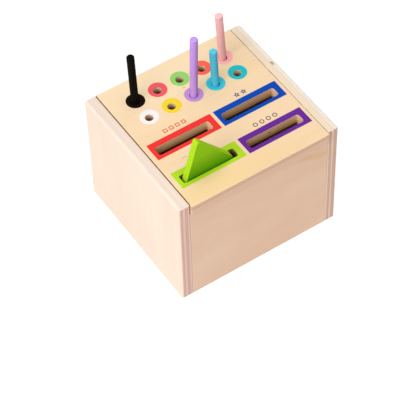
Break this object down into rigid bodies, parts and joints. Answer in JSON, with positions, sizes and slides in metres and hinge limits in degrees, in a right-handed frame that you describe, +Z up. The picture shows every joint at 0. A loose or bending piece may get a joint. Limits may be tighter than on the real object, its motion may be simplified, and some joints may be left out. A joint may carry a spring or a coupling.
{
  "type": "color sorting box",
  "caption": "Plywood toy box whose hinged lid takes sticks through colour-ringed holes and shape tiles through colour-framed slots.",
  "frame": {"origin": "on the ground under the middle of the box", "axes": "+X right along the front, +Y to the back, +Z up"},
  "size_m": [0.15, 0.1392, 0.175],
  "materials": {
    "birch_plywood": "clear satin lacquer",
    "beech_dowel": "bare wood",
    "steel_pin": "plain drawn steel",
    "print_black": "printed ink film, satin",
    "print_rose": "printed ink film, satin",
    "print_light_green": "printed ink film, satin",
    "print_coral": "printed ink film, satin",
    "print_pink": "printed ink film, satin",
    "print_white": "printed ink film, satin",
    "print_yellow": "printed ink film, satin",
    "print_lavender": "printed ink film, satin",
    "print_cyan": "printed ink film, satin",
    "print_turquoise": "printed ink film, satin",
    "print_red": "printed ink film, satin",
    "print_blue": "printed ink film, satin",
    "print_green": "printed ink film, satin",
    "print_purple": "printed ink film, satin",
    "paint_black": "satin paint on wood",
    "paint_lavender": "satin paint on wood",
    "paint_cyan": "satin paint on wood",
    "paint_pink": "satin paint on wood",
    "paint_green": "satin paint on wood"
  },
  "bodies": {
    "box": {"left_side_panel": "birch_plywood", "right_side_panel": "birch_plywood", "front_panel": "birch_plywood", "back_panel": "birch_plywood", "bottom_panel": "birch_plywood", "dowel_front_left_lower": "beech_dowel", "dowel_front_left_upper": "beech_dowel", "dowel_front_right_lower": "beech_dowel", "dowel_front_right_upper": "beech_dowel", "dowel_back_left_lower": "beech_dowel", "dowel_back_left_upper": "beech_dowel", "dowel_back_right_lower": "beech_dowel", "dowel_back_right_upper": "beech_dowel", "hinge_pin_left": "steel_pin", "hinge_pin_right": "steel_pin"},
    "lid": {"lid_panel": "birch_plywood", "ring_black": "print_black", "ring_rose": "print_rose", "ring_light_green": "print_light_green", "ring_coral": "print_coral", "ring_pink": "print_pink", "ring_white": "print_white", "ring_yellow": "print_yellow", "ring_lavender": "print_lavender", "ring_cyan": "print_cyan", "ring_turquoise": "print_turquoise", "frame_red": "print_red", "frame_blue": "print_blue", "frame_green": "print_green", "frame_purple": "print_purple"},
    "stick_black": {"stick_black": "paint_black"},
    "stick_lavender": {"stick_lavender": "paint_lavender"},
    "stick_cyan": {"stick_cyan": "paint_cyan"},
    "stick_pink": {"stick_pink": "paint_pink"},
    "triangle_tile": {"triangle_tile": "paint_green"}
  },
  "joints": [
    {"name": "lid_hinge", "type": "hinge", "parent": "box", "child": "lid", "pos_m": [0, 0.0641, 0.1055], "axis": [-1, 0, 0], "range_deg": [0, 92]},
    {"name": "stick_black_slide", "type": "slide", "parent": "lid", "child": "stick_black", "axis": [-0.021, 0.0116, 0.9997], "range_m": [-0.052, 0.033]},
    {"name": "stick_lavender_slide", "type": "slide", "parent": "lid", "child": "stick_lavender", "axis": [0.0203, -0.0127, 0.9997], "range_m": [-0.064, 0.021]},
    {"name": "stick_cyan_slide", "type": "slide", "parent": "lid", "child": "stick_cyan", "axis": [-0.026, 0.0169, 0.9995], "range_m": [-0.0385, 0.0465]},
    {"name": "stick_pink_slide", "type": "slide", "parent": "lid", "child": "stick_pink", "axis": [-0.042, 0.0273, 0.9987], "range_m": [-0.049, 0.036]},
    {"name": "tile_slide", "type": "slide", "parent": "lid", "child": "triangle_tile", "axis": [0, 0, 1], "range_m": [-0.04, 0.008]}
  ]
}
